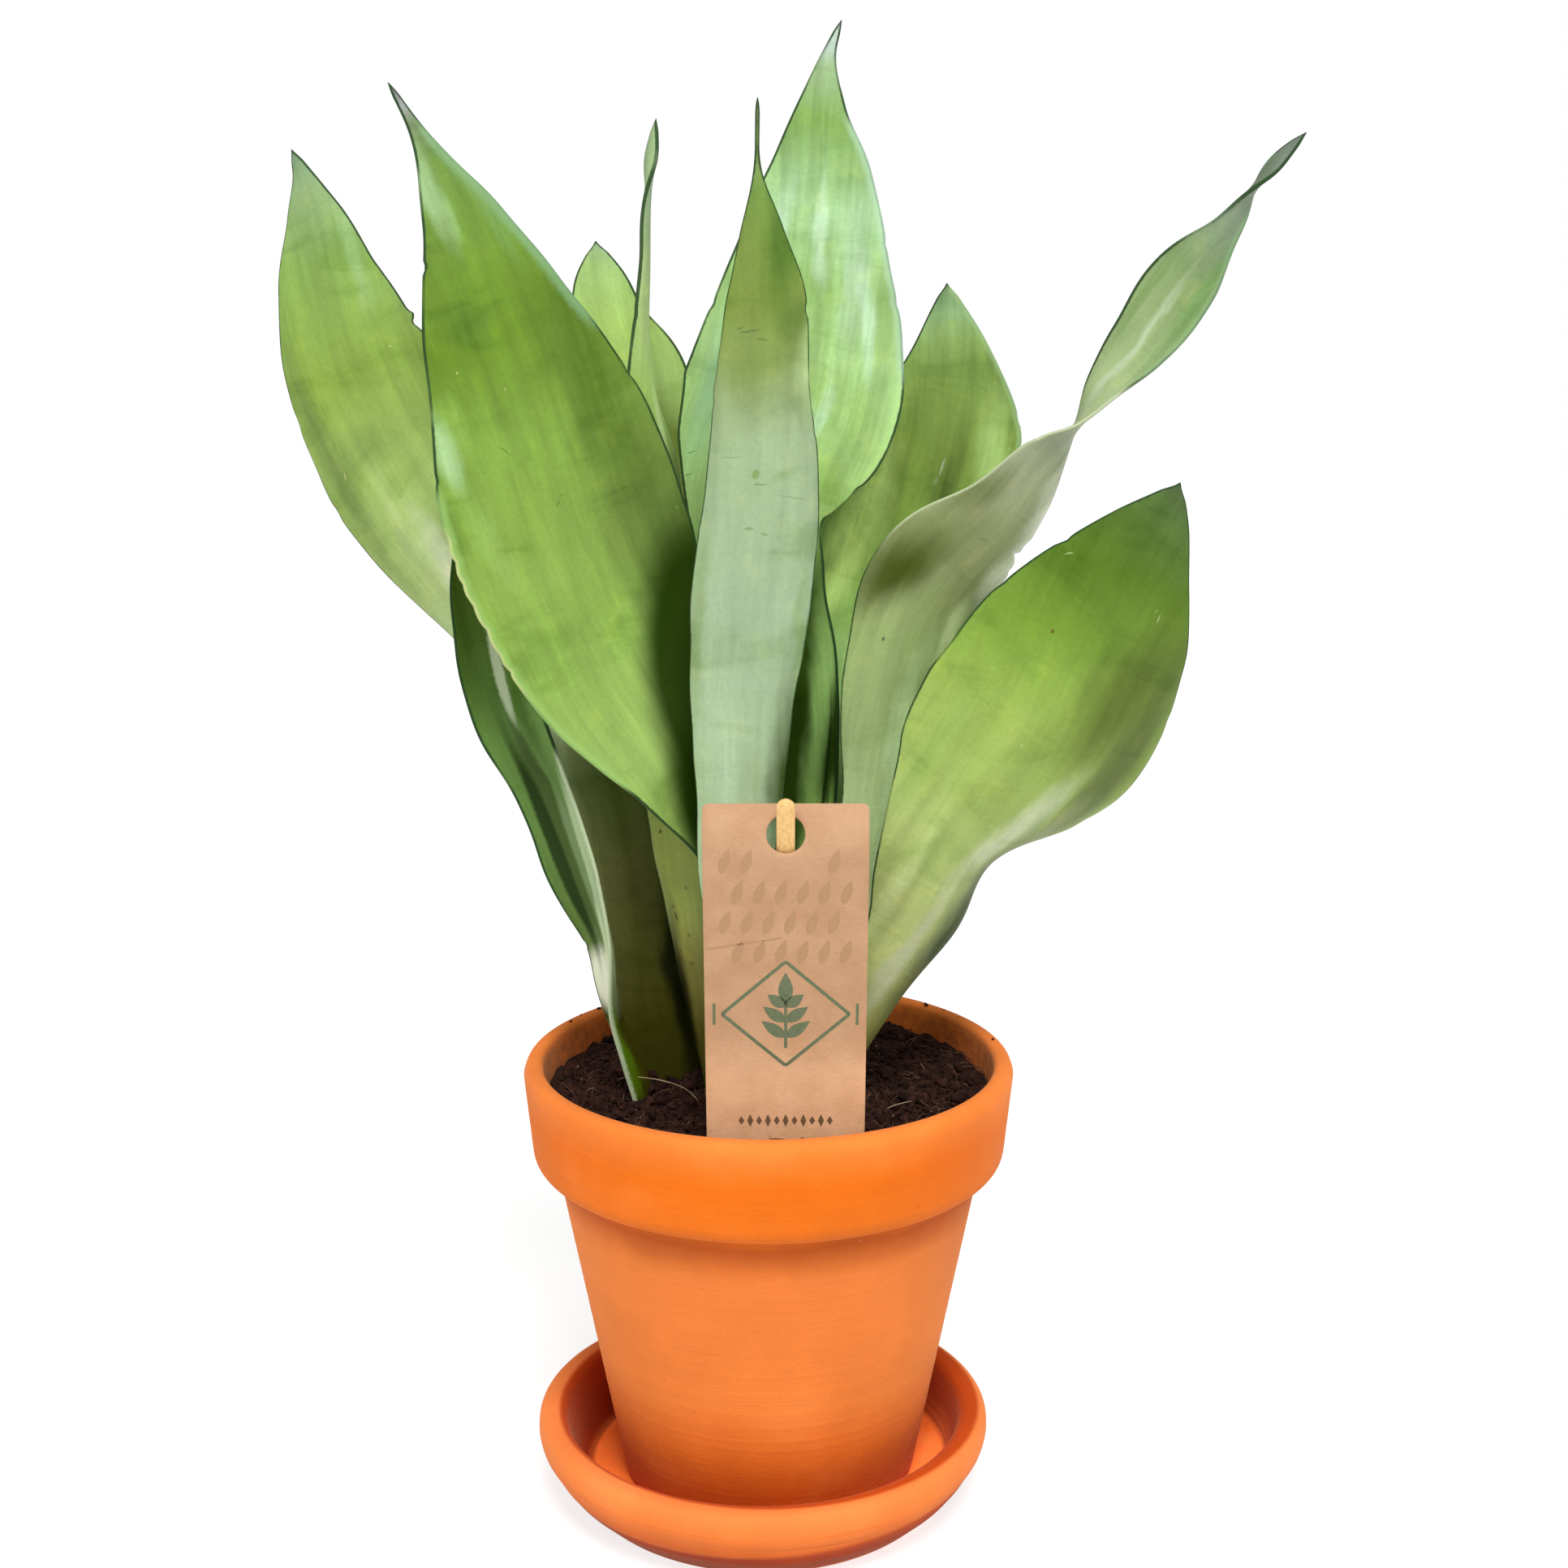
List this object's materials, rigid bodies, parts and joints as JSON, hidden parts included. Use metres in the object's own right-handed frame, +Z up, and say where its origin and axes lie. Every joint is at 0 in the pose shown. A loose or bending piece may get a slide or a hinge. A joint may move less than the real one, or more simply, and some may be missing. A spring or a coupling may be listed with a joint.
{
  "type": "potted moonshine snake plant",
  "caption": "Potted moonshine snake plant: broad pointed pale green leaves upright in soil in a terracotta pot on a saucer, with a card label on a wooden stick.",
  "frame": {"origin": "on the saucer's flat underside, straight below the pot's axis", "axes": "+Z up, -Y towards the front with the card label, +X to the right seen from the front"},
  "size_m": [0.2541, 0.13, 0.3892],
  "materials": {
    "saucer_clay": "matte",
    "pot_clay": "matte",
    "soil": "matte",
    "leaf_yellow_green": "satin",
    "leaf_green": "satin",
    "leaf_dark": "satin",
    "leaf_silver": "satin",
    "leaf_mint": "satin",
    "label_card": "matte",
    "label_wood": "matte"
  },
  "bodies": {
    "root": {"saucer": "saucer_clay", "pot": "pot_clay", "soil": "soil", "leaf_far_left": "leaf_yellow_green", "leaf_front_left": "leaf_green", "leaf_left_channelled": "leaf_dark", "leaf_front_middle": "leaf_silver", "leaf_tall": "leaf_mint", "leaf_back_left": "leaf_yellow_green", "leaf_narrow": "leaf_yellow_green", "leaf_back_right": "leaf_green", "leaf_twisted": "leaf_silver", "leaf_front_right": "leaf_yellow_green", "label": "label_card", "label_stick": "label_wood"}
  },
  "joints": []
}
